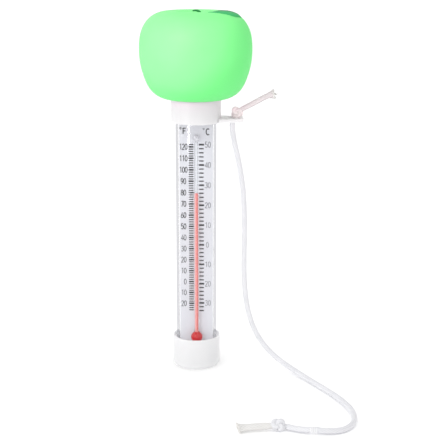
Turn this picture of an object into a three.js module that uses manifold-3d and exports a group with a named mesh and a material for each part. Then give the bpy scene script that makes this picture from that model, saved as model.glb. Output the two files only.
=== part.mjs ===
// Floating pool thermometer: a clear tube with a printed scale and a spirit-in-glass stem, weighted by a
// steel disc in its bottom cap and carried by a soft hollow float on top, with a tether cord on a lug.
// Millimetres, +Z up. Origin: centre of the flat underside of the bottom cap, on the tube's axis.
// +X points along the lug. The scale faces -Y.

import * as THREE from 'three';
import * as BufferGeometryUtils from 'three/addons/utils/BufferGeometryUtils.js';
import Module from 'manifold-3d';

const wasm = await Module();
wasm.setup();

// ---------------------------------------------------------------- driving dimensions (mm)
const SEG = 40; // sides of the large round pieces
const GAP = 0.3; // between pieces that touch on the real object

// bottom cap
const CAP_R = 13.1;
const CAP_H = 17.7;
const CAP_FILLET = 2.5;
const CAP_FLOOR = 1.8;
const CAP_RIM_R = 12.13; // inside of the open rim round the tube
const CAP_RIM_Z = 14.6; // floor of the open groove between rim and tube

// clear tube
const TUBE_R = 11.05;
const TUBE_BORE = 9.85;
const TUBE_Z0 = 10.4;
const TUBE_Z1 = 146.2;
const SOCKET_R = TUBE_R + GAP; // sockets in cap and collar

// parts in the cap, from the floor up
const BALLAST = { r: 11.0, z0: CAP_FLOOR + GAP, z1: 8.6 };
const GASKET = { r: 11.0, z0: 8.9, z1: 10.1 };
const PLUG = { r: TUBE_BORE - GAP, z0: 10.4, z1: 11.6 };

// collar and lug
const COLLAR_R = 13.6;
const COLLAR_Z0 = 138.65;
const COLLAR_Z1 = 150.5;
const COLLAR_WEB = 147.4; // underside of the web that closes the tube
const SPIGOT_R = 8.0;
const SPIGOT_BORE = 6.2;
const SPIGOT_TOP = 157.0;
const BARB_R = 9.1;
const LUG_REACH = 25.7; // from the axis to the lug's tip
const LUG_Z0 = 139.1; // underside, a little above the collar's lower edge
const LUG_HALF = 6.2;
const LUG_T = 1.95;
const LUG_CORNER = 2.6;
const LUG_HOLE_X = 20.0;
const LUG_HOLE_R = 2.0;

// float: outer outline from the neck hole, round the waist, to the dimple on top [radius, height]
const FLOAT_WALL = 1.7;
const FLOAT_OUTLINE = [
  [8.4, 151.6], [9.4, 151.33], [12.29, 151.01], [15.26, 151.16], [18.19, 151.83], [20.92, 153.08], [23.29, 154.89],
  [25.16, 157.19], [26.55, 159.81], [27.62, 162.56], [28.54, 165.34], [29.31, 168.17], [29.87, 171.06],
  [30.18, 174.0], [30.29, 176.98], [30.26, 180.02], [30.03, 183.11], [29.45, 186.2], [28.39, 189.17],
  [26.81, 191.91], [24.69, 194.26], [22.09, 196.09], [19.1, 197.28], [15.93, 197.84], [12.76, 197.87],
  [9.71, 197.43], [6.86, 196.61], [4.29, 195.57], [2.03, 194.66], [0, 194.27],
];
const LEAF_PATH = [[5.2, -9.4], [10.2, -9.2], [15.4, -7.8], [20.4, -5.6], [25.0, -2.6]]; // plan, X and Y
const LEAF_HALF = 5.2;
const LEAF_LIFT = 0.18; // clearance under the leaf
const LEAF_T = 0.6;
const STEM_PATH = [[2.3, 0, 195.7], [2.45, 0, 196.6], [2.2, 0, 197.4], [1.2, 0, 197.9], [-0.3, 0, 198.0], [-1.8, 0, 197.85]];
const STEM_R = 0.8;

// scale plate and thermometer
const PLATE_HALF = 9.3;
const PLATE_T = 0.8;
const PLATE_Z0 = 11.95;
const PLATE_Z1 = 139.5;
const NOTCH_HALF = 4.1; // room for the bulb
const NOTCH_TOP = 20.8;
const GLASS_X = 0.15;
const GLASS_Y = -2.0;
const GLASS_R = 1.4;
const BULB_R = 3.2;
const BULB_Z = 16.4;
const BORE_R = 0.72;
const BULB_CAVITY = 2.75;
const GLASS_TOP = 129.6;
const ZERO_C = 69.68; // height of 0 degrees C
const PER_C = 1.1284; // height of one degree C
const REST_C = 26.5; // reading at rest
const LEVEL_Z = ZERO_C + PER_C * REST_C; // top of the spirit at rest
const MENISCUS_H = 0.7;

// cord
const CORD_R = 1.5;
const CORD_STEPS = 58;
const CORD_ROUTE = [
  [20, 0, 141.05], [20.46, -0.02, 134.09], [21.78, -0.02, 127.26], [23.28, 0, 120.47], [24.45, 0.03, 113.61],
  [25.28, 0.06, 106.7], [25.89, 0.08, 99.77], [26.32, 0.09, 92.82], [26.6, 0.07, 85.87], [26.71, 0.03, 78.91],
  [26.69, -0.06, 71.96], [26.61, -0.15, 65], [26.58, -0.2, 58.04], [26.74, -0.17, 51.08], [27.18, -0.01, 44.14],
  [28.01, 0.21, 37.24], [29.34, 0.33, 30.41], [31.34, 0.11, 23.75], [34.22, -0.72, 17.49], [38.09, -2.47, 12],
  [42.66, -5.49, 7.74], [47.35, -9.84, 5.05], [51.8, -14.95, 3.51], [55.95, -20.45, 2.58], [59.8, -26.22, 2],
  [63.4, -32.17, 1.71], [66.85, -38.21, 1.63], [70.19, -44.31, 1.69], [73.33, -50.52, 1.79], [76.19, -56.86, 1.87],
  [78.64, -63.38, 1.89], [80.47, -70.09, 1.87], [81.34, -76.98, 1.8], [80.86, -83.91, 1.72], [78.49, -90.41, 1.63],
  [73.65, -95.3, 1.64], [67.03, -97.28, 1.93], [60.09, -97.11, 2.33], [53.38, -95.33, 1.88], [47.07, -92.4, 1.84],
];
const STOPPER = { c: [22.2, -0.3, 144.05], r: [3.2, 3.0, 2.7] };
const END_KNOT = { c: [42.5, -93.3, 3.4], r: [3.4, 3.25, 3.2] };
const TOP_TAIL = { a: [25.4, -0.75, 146.0], b: [42.0, -1.8, 154.7], r: 1.3, flare: 2.2 };
const END_TAIL = { a: [38.85, -93.0, 2.1], b: [23.2, -95.3, 2.6], r: 1.7, flare: 2.4 };
const WHIPPING = { c: [60.09, -97.11, 2.33], dir: [-13.65, 1.95, -0.05], bore: 1.8, r: 2.15, len: 3.6 };

// ---------------------------------------------------------------- helpers
const V2 = (a) => new THREE.Vector2(a[0], a[1]);
const V3 = (a) => new THREE.Vector3(a[0], a[1], a[2]);

// A solid of revolution about Z from [radius, height] points: outside upwards, then back down the inside.
function revolve(outline, sides = SEG) {
  const g = new THREE.LatheGeometry(outline.map(V2), sides);
  g.rotateX(Math.PI / 2);
  return g;
}

function arc(cx, cz, r, from, to, n) {
  const out = [];
  for (let i = 0; i <= n; i++) {
    const t = ((from + ((to - from) * i) / n) * Math.PI) / 180;
    out.push([cx + r * Math.cos(t), cz + r * Math.sin(t)]);
  }
  return out;
}

// The outline moved inwards by d, for the inside of a moulded wall.
function inset(points, d) {
  return points.map((p, i) => {
    const a = points[Math.max(0, i - 1)];
    const b = points[Math.min(points.length - 1, i + 1)];
    const tx = b[0] - a[0];
    const tz = b[1] - a[1];
    const l = Math.hypot(tx, tz);
    return [Math.max(0, p[0] - (d * tz) / l), p[1] + (d * tx) / l];
  });
}

function sweep(points, radius, sides, steps) {
  const curve = new THREE.CatmullRomCurve3(points.map(V3));
  const section = new THREE.Shape();
  for (let i = 0; i < sides; i++) {
    const t = (2 * Math.PI * i) / sides;
    if (i === 0) section.moveTo(radius * Math.cos(t), radius * Math.sin(t));
    else section.lineTo(radius * Math.cos(t), radius * Math.sin(t));
  }
  section.closePath();
  return new THREE.ExtrudeGeometry(section, { steps, extrudePath: curve, curveSegments: 1, bevelEnabled: false });
}

function toManifold(geometry) {
  let g = geometry.clone();
  g.deleteAttribute('normal');
  g.deleteAttribute('uv');
  g = BufferGeometryUtils.mergeVertices(g, 1e-4);
  const index = g.index.array;
  const tri = [];
  for (let i = 0; i < index.length; i += 3) {
    const [a, b, c] = [index[i], index[i + 1], index[i + 2]];
    if (a !== b && b !== c && c !== a) tri.push(a, b, c);
  }
  return new wasm.Manifold(
    new wasm.Mesh({
      numProp: 3,
      vertProperties: new Float32Array(g.attributes.position.array),
      triVerts: new Uint32Array(tri),
    }),
  );
}

function fromManifold(solid) {
  const m = solid.getMesh();
  const g = new THREE.BufferGeometry();
  g.setAttribute('position', new THREE.BufferAttribute(new Float32Array(m.vertProperties), 3));
  g.setIndex(new THREE.BufferAttribute(new Uint32Array(m.triVerts), 1));
  g.computeVertexNormals();
  return g;
}

function disc(r, z0, z1, sides = SEG) {
  return revolve([[0, z0], [r, z0], [r, z1], [0, z1]], sides);
}

const thermometer = new THREE.Group();
thermometer.name = 'floating_pool_thermometer';

function add(name, geometry, colour, roughness = 0.5, metalness = 0, extra = {}) {
  const mesh = new THREE.Mesh(
    geometry,
    new THREE.MeshStandardMaterial({ color: colour, roughness, metalness, ...extra }),
  );
  mesh.name = name;
  thermometer.add(mesh);
  return mesh;
}

const WHITE = 0xf2f1ee;
const CORD_WHITE = 0xf0efee;
const GREEN = 0x97f8a4;
const LEAF_GREEN = 0x3fbf6a;
const RED = 0xd92b2b;

// ---------------------------------------------------------------- bottom cap and what it holds
add(
  'bottom_cap',
  revolve([
    [0, 0],
    ...arc(CAP_R - CAP_FILLET, CAP_FILLET, CAP_FILLET, -90, 0, 5),
    [CAP_R, CAP_H - 0.25],
    [CAP_R - 0.2, CAP_H],
    [CAP_RIM_R + 0.15, CAP_H],
    [CAP_RIM_R, CAP_H - 0.2],
    [CAP_RIM_R, CAP_RIM_Z],
    [SOCKET_R, CAP_RIM_Z],
    [SOCKET_R, CAP_FLOOR],
    [0, CAP_FLOOR],
  ]),
  WHITE,
  0.45,
);
add(
  'ballast_weight',
  revolve([
    [0, BALLAST.z0],
    [BALLAST.r - 0.4, BALLAST.z0],
    [BALLAST.r, BALLAST.z0 + 0.4],
    [BALLAST.r, BALLAST.z1 - 0.4],
    [BALLAST.r - 0.4, BALLAST.z1],
    [0, BALLAST.z1],
  ]),
  0x9a9c9f,
  0.4,
  1,
);
add('bottom_gasket', disc(GASKET.r, GASKET.z0, GASKET.z1), 0x2b2b2d, 0.8);
add('bottom_plug', disc(PLUG.r, PLUG.z0, PLUG.z1), WHITE, 0.5);

// foam cup under the bulb
add(
  'bulb_pad',
  (() => {
    const cup = revolve([[0, 11.9], [3.5, 11.9], [3.5, 13.7], ...arc(0, BULB_Z, BULB_R + 0.3, -50.4, -90, 5).map(([r, z], i, all) => (i === all.length - 1 ? [0, z] : [r, z]))], 24);
    cup.translate(GLASS_X, GLASS_Y, 0);
    return cup;
  })(),
  0xe9e7e0,
  0.9,
);

// ---------------------------------------------------------------- clear tube
add(
  'clear_tube',
  revolve([
    [TUBE_BORE, TUBE_Z0],
    [TUBE_R, TUBE_Z0],
    [TUBE_R, TUBE_Z1],
    [TUBE_BORE, TUBE_Z1],
    [TUBE_BORE, TUBE_Z0],
  ]),
  0xe9eaf2,
  0.08,
  0,
  { transparent: true, opacity: 0.35 },
);

// ---------------------------------------------------------------- scale plate, notched for the bulb
{
  const s = new THREE.Shape();
  const c = 1.0;
  const nx = GLASS_X;
  s.moveTo(-PLATE_HALF, PLATE_Z0);
  s.lineTo(nx - NOTCH_HALF, PLATE_Z0);
  s.lineTo(nx - NOTCH_HALF, NOTCH_TOP - NOTCH_HALF);
  for (let i = 1; i < 12; i++) {
    const t = Math.PI - (Math.PI * i) / 12;
    s.lineTo(nx + NOTCH_HALF * Math.cos(t), NOTCH_TOP - NOTCH_HALF + NOTCH_HALF * Math.sin(t));
  }
  s.lineTo(nx + NOTCH_HALF, NOTCH_TOP - NOTCH_HALF);
  s.lineTo(nx + NOTCH_HALF, PLATE_Z0);
  s.lineTo(PLATE_HALF, PLATE_Z0);
  s.lineTo(PLATE_HALF, PLATE_Z1 - c);
  s.lineTo(PLATE_HALF - c, PLATE_Z1);
  s.lineTo(-PLATE_HALF + c, PLATE_Z1);
  s.lineTo(-PLATE_HALF, PLATE_Z1 - c);
  s.closePath();
  const g = new THREE.ExtrudeGeometry(s, { depth: PLATE_T, bevelEnabled: false, curveSegments: 1 });
  g.rotateX(Math.PI / 2); // the outline's Y becomes Z, and the thickness runs towards -Y
  g.translate(0, PLATE_T, 0);
  add('scale_plate', g, 0xf1f1f6, 0.6);
}

// ---------------------------------------------------------------- glass stem with bulb, spirit inside
const NECK_T = Math.acos((GLASS_R + 0.25) / BULB_R) * (180 / Math.PI); // where the bulb meets the stem
const CAV_T = Math.acos(BORE_R / BULB_CAVITY) * (180 / Math.PI);
{
  const outer = [[0, BULB_Z - BULB_R], ...arc(0, BULB_Z, BULB_R, -75, NECK_T, 12), [GLASS_R, BULB_Z + BULB_R + 0.4]];
  const tip = arc(GLASS_R - 0.6, GLASS_TOP - 0.6, 0.6, 0, 90, 3);
  const cavity = arc(0, BULB_Z, BULB_CAVITY, CAV_T, -75, 12);
  const g = revolve([...outer, ...tip, [BORE_R, GLASS_TOP], ...cavity, [0, BULB_Z - BULB_CAVITY]], 24);
  g.translate(GLASS_X, GLASS_Y, 0);
  add('glass_stem', g, 0xf4f4f2, 0.05, 0, { transparent: true, opacity: 0.4 });
}
{
  const R = BULB_CAVITY - 0.25;
  const rn = BORE_R - 0.22;
  const t = Math.acos(rn / R) * (180 / Math.PI);
  const g = revolve([[0, BULB_Z - R], ...arc(0, BULB_Z, R, -75, t, 10), [rn, 19.9], [0, 19.9]], 20);
  g.translate(GLASS_X, GLASS_Y, 0);
  add('spirit_bulb', g, RED, 0.3);
}
{
  const g = disc(BORE_R - 0.2, 20.2, LEVEL_Z - MENISCUS_H - GAP, 12);
  g.translate(GLASS_X, GLASS_Y, 0);
  add('spirit_column', g, RED, 0.3);
}
{
  const r = BORE_R - 0.2;
  const z0 = LEVEL_Z - MENISCUS_H;
  const g = revolve([[0, z0], [r, z0], [r, LEVEL_Z - 0.3], [r * 0.7, LEVEL_Z - 0.08], [0, LEVEL_Z]], 12);
  g.translate(GLASS_X, GLASS_Y, 0);
  add('spirit_meniscus', g, RED, 0.3);
}
// dab of silicone that holds the stem's tip to the plate
{
  const dab = new THREE.SphereGeometry(1, 16, 12);
  dab.scale(2.3, 1.55, 3.4);
  dab.translate(GLASS_X, -1.85, 129.4);
  let solid = toManifold(dab);
  const stem = disc(GLASS_R + GAP, 120, GLASS_TOP + GAP, 24);
  stem.translate(GLASS_X, GLASS_Y, 0);
  solid = solid.subtract(toManifold(stem));
  add('stem_dab', fromManifold(solid), 0xf3f2ee, 0.35);
}

// ---------------------------------------------------------------- top of the tube, inside the collar
add('top_pad', disc(7.6, PLATE_Z1 + GAP, TUBE_Z1 - 0.05, 24), 0xdedbd2, 0.95);
add('top_gasket', disc(11.0, TUBE_Z1 + GAP, COLLAR_WEB - GAP), 0x2b2b2d, 0.8);

// ---------------------------------------------------------------- collar: socket, spigot, lug
{
  const body = toManifold(
    revolve([
      [0, COLLAR_WEB],
      [SOCKET_R, COLLAR_WEB],
      [SOCKET_R, COLLAR_Z0],
      [COLLAR_R - 0.3, COLLAR_Z0],
      [COLLAR_R, COLLAR_Z0 + 0.3],
      [COLLAR_R, COLLAR_Z1 - 0.2],
      [COLLAR_R - 0.2, COLLAR_Z1],
      [SPIGOT_R, COLLAR_Z1],
      [SPIGOT_R, 154.3],
      [BARB_R, 154.5],
      [BARB_R, 155.1],
      [SPIGOT_R - 0.2, SPIGOT_TOP],
      [SPIGOT_BORE, SPIGOT_TOP],
      [SPIGOT_BORE, COLLAR_WEB + 1.6],
      [0, COLLAR_WEB + 1.6],
    ]),
  );
  const s = new THREE.Shape();
  s.moveTo(8, -LUG_HALF);
  s.lineTo(LUG_REACH - LUG_CORNER, -LUG_HALF);
  s.absarc(LUG_REACH - LUG_CORNER, -LUG_HALF + LUG_CORNER, LUG_CORNER, -Math.PI / 2, 0, false);
  s.absarc(LUG_REACH - LUG_CORNER, LUG_HALF - LUG_CORNER, LUG_CORNER, 0, Math.PI / 2, false);
  s.lineTo(8, LUG_HALF);
  s.closePath();
  const hole = new THREE.Path();
  hole.absarc(LUG_HOLE_X, 0, LUG_HOLE_R, 0, Math.PI * 2, true);
  s.holes.push(hole);
  const plate = new THREE.ExtrudeGeometry(s, {
    depth: LUG_T - 0.7,
    bevelEnabled: true,
    bevelThickness: 0.35,
    bevelSize: 0.35,
    bevelOffset: -0.35,
    bevelSegments: 1,
    curveSegments: 6,
  });
  plate.translate(0, 0, LUG_Z0 + 0.35);
  const lug = toManifold(plate).subtract(toManifold(disc(SOCKET_R, COLLAR_Z0 - 2, COLLAR_WEB)));
  add('collar', fromManifold(body.add(lug)), WHITE, 0.42);
}

// ---------------------------------------------------------------- float
{
  const inner = inset(FLOAT_OUTLINE, FLOAT_WALL).reverse();
  inner[0][0] = 0;
  inner[inner.length - 1] = [FLOAT_OUTLINE[0][0], FLOAT_OUTLINE[0][1] + FLOAT_WALL];
  // every second inside point is enough for the hidden wall
  const thin = inner.filter((p, i) => i === 0 || i === inner.length - 1 || i % 2 === 1);
  add('float_shell', revolve([...thin, ...FLOAT_OUTLINE], 36), GREEN, 0.75);
}

// height of the float's top at a distance from the axis
function topHeight(r) {
  const top = FLOAT_OUTLINE.filter((p) => p[1] > 176).reverse(); // from the axis outwards
  for (let i = 1; i < top.length; i++) {
    if (r <= top[i][0]) {
      const [a, b] = [top[i - 1], top[i]];
      return a[1] + ((b[1] - a[1]) * (r - a[0])) / (b[0] - a[0]);
    }
  }
  return top[top.length - 1][1];
}

// leaf: a thin raised patch that follows the float's surface, thickest along its midrib
{
  const NU = 14;
  const NV = 8;
  const curve = new THREE.CatmullRomCurve3(LEAF_PATH.map(([x, y]) => new THREE.Vector3(x, y, 0)));
  const pos = [];
  const id = (layer, i, j) => layer * (NU + 1) * (NV + 1) + i * (NV + 1) + j;
  for (let layer = 0; layer < 2; layer++) {
    for (let i = 0; i <= NU; i++) {
      const u = i / NU;
      const p = curve.getPoint(u);
      const t = curve.getTangent(u);
      const half = Math.max(0.25, LEAF_HALF * Math.pow(Math.sin(Math.PI * (0.04 + 0.92 * u)), 0.85) * (0.82 + 0.36 * u));
      for (let j = 0; j <= NV; j++) {
        const v = (2 * j) / NV - 1;
        const x = p.x - t.y * half * v;
        const y = p.y + t.x * half * v;
        const r = Math.hypot(x, y);
        const e = 0.05;
        const slope = (topHeight(r + e) - topHeight(Math.max(0, r - e))) / (2 * e);
        const n = 1 / Math.hypot(1, slope);
        const lift = LEAF_LIFT + (layer ? LEAF_T * (0.45 + 0.55 * (1 - v * v)) : 0);
        pos.push(x - (slope * n * lift * x) / r, y - (slope * n * lift * y) / r, topHeight(r) + n * lift);
      }
    }
  }
  const tri = [];
  const quad = (a, b, c, d) => tri.push(a, b, c, a, c, d);
  for (let i = 0; i < NU; i++) {
    for (let j = 0; j < NV; j++) {
      quad(id(1, i, j), id(1, i + 1, j), id(1, i + 1, j + 1), id(1, i, j + 1));
      quad(id(0, i, j), id(0, i, j + 1), id(0, i + 1, j + 1), id(0, i + 1, j));
    }
    quad(id(0, i, 0), id(0, i + 1, 0), id(1, i + 1, 0), id(1, i, 0));
    quad(id(0, i, NV), id(1, i, NV), id(1, i + 1, NV), id(0, i + 1, NV));
  }
  for (let j = 0; j < NV; j++) {
    quad(id(0, 0, j), id(1, 0, j), id(1, 0, j + 1), id(0, 0, j + 1));
    quad(id(0, NU, j), id(0, NU, j + 1), id(1, NU, j + 1), id(1, NU, j));
  }
  const g = new THREE.BufferGeometry();
  g.setAttribute('position', new THREE.Float32BufferAttribute(pos, 3));
  g.setIndex(tri);
  g.computeVertexNormals();
  add('float_leaf', g, LEAF_GREEN, 0.7);
}
add('float_stem', sweep(STEM_PATH, STEM_R, 10, 12), LEAF_GREEN, 0.7);

// ---------------------------------------------------------------- cord, its knots, tails and whipping
add('cord_line', sweep(CORD_ROUTE, CORD_R, 8, CORD_STEPS), CORD_WHITE, 0.85);

function knot(name, k) {
  const g = new THREE.SphereGeometry(1, 16, 10);
  g.rotateX(Math.PI / 2);
  g.scale(...k.r);
  g.translate(...k.c);
  add(name, g, CORD_WHITE, 0.85);
}
knot('stopper_knot', STOPPER);
knot('end_knot', END_KNOT);

// A short straight end of cord that opens into a small cup where it was cut.
function tail(name, t) {
  const a = V3(t.a);
  const b = V3(t.b);
  const l = a.distanceTo(b);
  const g = revolve(
    [
      [0, 0],
      [t.r, 0],
      [t.r, l - 4.2],
      [t.r + 0.1, l - 2.8],
      [t.flare, l - 0.7],
      [t.flare - 0.15, l],
      [t.flare - 0.9, l - 0.1],
      [0, l - 1.4],
    ],
    12,
  );
  g.applyQuaternion(new THREE.Quaternion().setFromUnitVectors(new THREE.Vector3(0, 0, 1), b.clone().sub(a).normalize()));
  g.translate(a.x, a.y, a.z);
  add(name, g, CORD_WHITE, 0.85);
}
tail('top_tail', TOP_TAIL);
tail('end_tail', END_TAIL);

{
  const w = WHIPPING;
  const g = revolve([[w.bore, -w.len / 2], [w.r, -w.len / 2], [w.r, w.len / 2], [w.bore, w.len / 2], [w.bore, -w.len / 2]], 16);
  g.applyQuaternion(new THREE.Quaternion().setFromUnitVectors(new THREE.Vector3(0, 0, 1), V3(w.dir).normalize()));
  g.translate(...w.c);
  add('cord_whipping', g, CORD_WHITE, 0.8);
}

export default thermometer;
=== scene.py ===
"""Floating pool thermometer: the looks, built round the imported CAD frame. Metres, +Z up, +X along the lug, scale facing -Y.
Lengths in the tables below are in millimetres and are turned into metres when a mesh is made."""

import math

import bmesh
import bpy
import numpy as np
from mathutils import Matrix, Vector


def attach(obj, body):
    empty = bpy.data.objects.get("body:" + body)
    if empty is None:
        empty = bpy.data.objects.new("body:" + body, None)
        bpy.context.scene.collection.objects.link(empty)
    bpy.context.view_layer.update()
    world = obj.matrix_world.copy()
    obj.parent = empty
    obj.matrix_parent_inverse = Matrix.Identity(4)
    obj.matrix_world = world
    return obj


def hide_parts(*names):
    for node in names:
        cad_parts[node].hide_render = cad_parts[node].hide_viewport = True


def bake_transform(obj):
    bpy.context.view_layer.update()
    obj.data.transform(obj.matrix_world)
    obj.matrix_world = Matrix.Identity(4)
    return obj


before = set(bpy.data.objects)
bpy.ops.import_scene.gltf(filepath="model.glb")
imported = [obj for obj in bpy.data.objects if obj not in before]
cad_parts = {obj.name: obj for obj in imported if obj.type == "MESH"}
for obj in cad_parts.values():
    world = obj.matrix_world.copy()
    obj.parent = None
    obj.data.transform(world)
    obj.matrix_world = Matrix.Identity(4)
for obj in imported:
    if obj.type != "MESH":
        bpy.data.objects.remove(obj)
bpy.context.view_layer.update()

MM = 0.001
BODY = "thermometer"
TOP_BODY = "spirit_top"
scene = bpy.context.scene
collection = scene.collection

# ------------------------------------------------------------------ camera
CAM_AT = (17.54, -607.35, 231.43)
CAM_PITCH = 0.2419  # radians below the horizon
CAM_YAW = -0.0036
CAM_ROLL = 0.003
FOCAL_PX = 1129.16  # focal length in pixels of a 448 pixel wide picture


def make_camera():
    cp, sp = math.cos(CAM_PITCH), math.sin(CAM_PITCH)
    cy, sy = math.cos(CAM_YAW), math.sin(CAM_YAW)
    fwd = Vector((sy * cp, cy * cp, -sp))
    right = Vector((cy, -sy, 0))
    up = right.cross(fwd)
    r2 = right * math.cos(CAM_ROLL) + up * math.sin(CAM_ROLL)
    u2 = -right * math.sin(CAM_ROLL) + up * math.cos(CAM_ROLL)
    turn = Matrix((r2, u2, -fwd)).transposed().to_4x4()
    data = bpy.data.cameras.new("camera")
    data.sensor_fit = "HORIZONTAL"
    data.sensor_width = 36
    data.lens = FOCAL_PX * 36 / 448
    data.clip_start, data.clip_end = 0.02, 60
    cam = bpy.data.objects.new("camera", data)
    collection.objects.link(cam)
    cam.matrix_world = Matrix.Translation(Vector(CAM_AT) * MM) @ turn
    scene.camera = cam


make_camera()

# ------------------------------------------------------------------ mesh helpers


def mesh_object(name, verts, faces, material, sharp=None, recalc=True, attribute=None, materials=None, face_mats=None):
    """A mesh object from millimetre points. sharp is the angle in degrees above which an edge is drawn hard."""
    me = bpy.data.meshes.new(name)
    me.from_pydata((np.asarray(verts, float) * MM).tolist(), [], [list(map(int, f)) for f in faces])
    me.update()
    for m in materials or [material]:
        me.materials.append(m)
    if face_mats is not None:
        me.polygons.foreach_set("material_index", np.asarray(face_mats, np.int32))
    if attribute is not None:
        layer = me.attributes.new(attribute[0], "FLOAT", "POINT")
        layer.data.foreach_set("value", np.asarray(attribute[1], np.float32))
    finish_mesh(me, sharp, recalc)
    ob = bpy.data.objects.new(name, me)
    collection.objects.link(ob)
    return ob


def finish_mesh(me, sharp=None, recalc=True):
    bm = bmesh.new()
    bm.from_mesh(me)
    if recalc:
        bmesh.ops.recalc_face_normals(bm, faces=bm.faces[:])
    for f in bm.faces:
        f.smooth = True
    if sharp is not None:
        limit = math.radians(sharp)
        for e in bm.edges:
            e.smooth = not (len(e.link_faces) == 2 and e.calc_face_angle(0) > limit)
    bm.to_mesh(me)
    bm.free()
    me.update()


def lathe(profile, sides, centre=(0, 0), closed=False, turn=0.0):
    """Points and faces of a profile [(radius, height)...] turned about a vertical axis."""
    verts, rings = [], []
    for r, z in profile:
        if r < 1e-6:
            rings.append([len(verts)])
            verts.append((centre[0], centre[1], z))
        else:
            rings.append(list(range(len(verts), len(verts) + sides)))
            for k in range(sides):
                a = 2 * math.pi * k / sides + turn
                verts.append((centre[0] + r * math.cos(a), centre[1] + r * math.sin(a), z))
    faces = []
    pairs = list(zip(rings, rings[1:]))
    if closed:
        pairs.append((rings[-1], rings[0]))
    for a, b in pairs:
        for k in range(sides):
            j = (k + 1) % sides
            if len(a) > 1 and len(b) > 1:
                faces.append((a[k], a[j], b[j], b[k]))
            elif len(a) > 1:
                faces.append((a[k], a[j], b[0]))
            elif len(b) > 1:
                faces.append((a[0], b[j], b[k]))
    return verts, faces


def fillet(points, seg=4, closed=False):
    """Points (x, y, radius) with each corner that has a radius turned into an arc."""
    out = []
    n = len(points)
    for i, (x, y, rad) in enumerate(points):
        if rad <= 0 or (not closed and i in (0, n - 1)):
            out.append((x, y))
            continue
        p, a, b = Vector((x, y)), Vector(points[i - 1][:2]), Vector(points[(i + 1) % n][:2])
        u, v = (a - p).normalized(), (b - p).normalized()
        half = u.angle(v) / 2
        d = min(rad / math.tan(half), 0.49 * (a - p).length, 0.49 * (b - p).length)
        r = d * math.tan(half)
        c = p + (u + v).normalized() * (r / math.sin(half))
        s, e = p + u * d - c, p + v * d - c
        a0, a1 = math.atan2(s.y, s.x), math.atan2(e.y, e.x)
        turn = (a1 - a0 + math.pi) % (2 * math.pi) - math.pi
        for k in range(seg + 1):
            t = a0 + turn * k / seg
            out.append((c.x + r * math.cos(t), c.y + r * math.sin(t)))
    return out


def densify(points, longest=6.0, near=0.12, closed=False):
    """The same outline with extra points close to both ends of each long side, so that smooth shading stays at the corners."""
    p = [Vector(q) for q in points]
    out = []
    n = len(p)
    for i in range(n if closed else n - 1):
        a, b = p[i], p[(i + 1) % n]
        out.append(tuple(a))
        d = (b - a).length
        if d > 6 * near:
            k = max(1, math.ceil((d - 2 * near) / longest))
            for q in range(k + 1):
                out.append(tuple(a + (b - a) * ((near + (d - 2 * near) * q / k) / d)))
    if not closed:
        out.append(tuple(p[-1]))
    return out


def spline(points, step, closed=False):
    """A centripetal Catmull-Rom curve through the points, as points about step apart."""
    p = np.asarray(points, float)
    p = np.vstack([2 * p[0] - p[1], p, 2 * p[-1] - p[-2]])
    fine = []
    for i in range(1, len(p) - 2):
        p0, p1, p2, p3 = p[i - 1 : i + 3]
        t1 = max(1e-9, np.linalg.norm(p1 - p0) ** 0.5)
        t2 = t1 + max(1e-9, np.linalg.norm(p2 - p1) ** 0.5)
        t3 = t2 + max(1e-9, np.linalg.norm(p3 - p2) ** 0.5)
        n = max(8, int(np.linalg.norm(p2 - p1) / step * 4))
        t = np.linspace(t1, t2, n, endpoint=False)[:, None]
        a1 = (t1 - t) / t1 * p0 + t / t1 * p1
        a2 = (t2 - t) / (t2 - t1) * p1 + (t - t1) / (t2 - t1) * p2
        a3 = (t3 - t) / (t3 - t2) * p2 + (t - t2) / (t3 - t2) * p3
        b1 = (t2 - t) / t2 * a1 + t / t2 * a2
        b2 = (t3 - t) / (t3 - t1) * a2 + (t - t1) / (t3 - t1) * a3
        fine.append((t2 - t) / (t2 - t1) * b1 + (t - t1) / (t2 - t1) * b2)
    fine.append(p[-2][None, :])
    fine = np.vstack(fine)
    along = np.concatenate([[0], np.cumsum(np.linalg.norm(np.diff(fine, axis=0), axis=1))])
    n = max(3, int(round(along[-1] / step)) + 1)
    at = np.linspace(0, along[-1], n)
    return np.stack([np.interp(at, along, fine[:, k]) for k in range(fine.shape[1])], 1), at


def frames(path, first=None):
    """Tangents and two normals that turn as little as they can along the path."""
    t = np.gradient(path, axis=0)
    t /= np.linalg.norm(t, axis=1)[:, None]
    ref = np.array(first if first is not None else (0.0, -1.0, 0.0))
    n0 = ref - t[0] * (ref @ t[0])
    if np.linalg.norm(n0) < 1e-3:
        ref = np.array((1.0, 0.0, 0.0))
        n0 = ref - t[0] * (ref @ t[0])
    n = [n0 / np.linalg.norm(n0)]
    for i in range(1, len(path)):
        v1 = path[i] - path[i - 1]
        c1 = v1 @ v1
        if c1 < 1e-12:
            n.append(n[-1])
            continue
        rl = n[-1] - 2 / c1 * (v1 @ n[-1]) * v1
        tl = t[i - 1] - 2 / c1 * (v1 @ t[i - 1]) * v1
        v2 = t[i] - tl
        c2 = v2 @ v2
        r = rl if c2 < 1e-12 else rl - 2 / c2 * (v2 @ rl) * v2
        r = r - t[i] * (r @ t[i])
        n.append(r / np.linalg.norm(r))
    n = np.array(n)
    return t, n, np.cross(t, n)


def grid_faces(rows, sides, cap0=True, cap1=True):
    faces = []
    for i in range(rows - 1):
        a, b = i * sides, (i + 1) * sides
        for k in range(sides):
            j = (k + 1) % sides
            faces.append((a + k, a + j, b + j, b + k))
    if cap0:
        faces.append(tuple(range(sides - 1, -1, -1)))
    if cap1:
        faces.append(tuple(range((rows - 1) * sides, rows * sides)))
    return faces


# ------------------------------------------------------------------ braided cord
STRANDS = 8  # carriers each way round
LAY = 1.75  # millimetres along the cord for one strand's width round it


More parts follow.
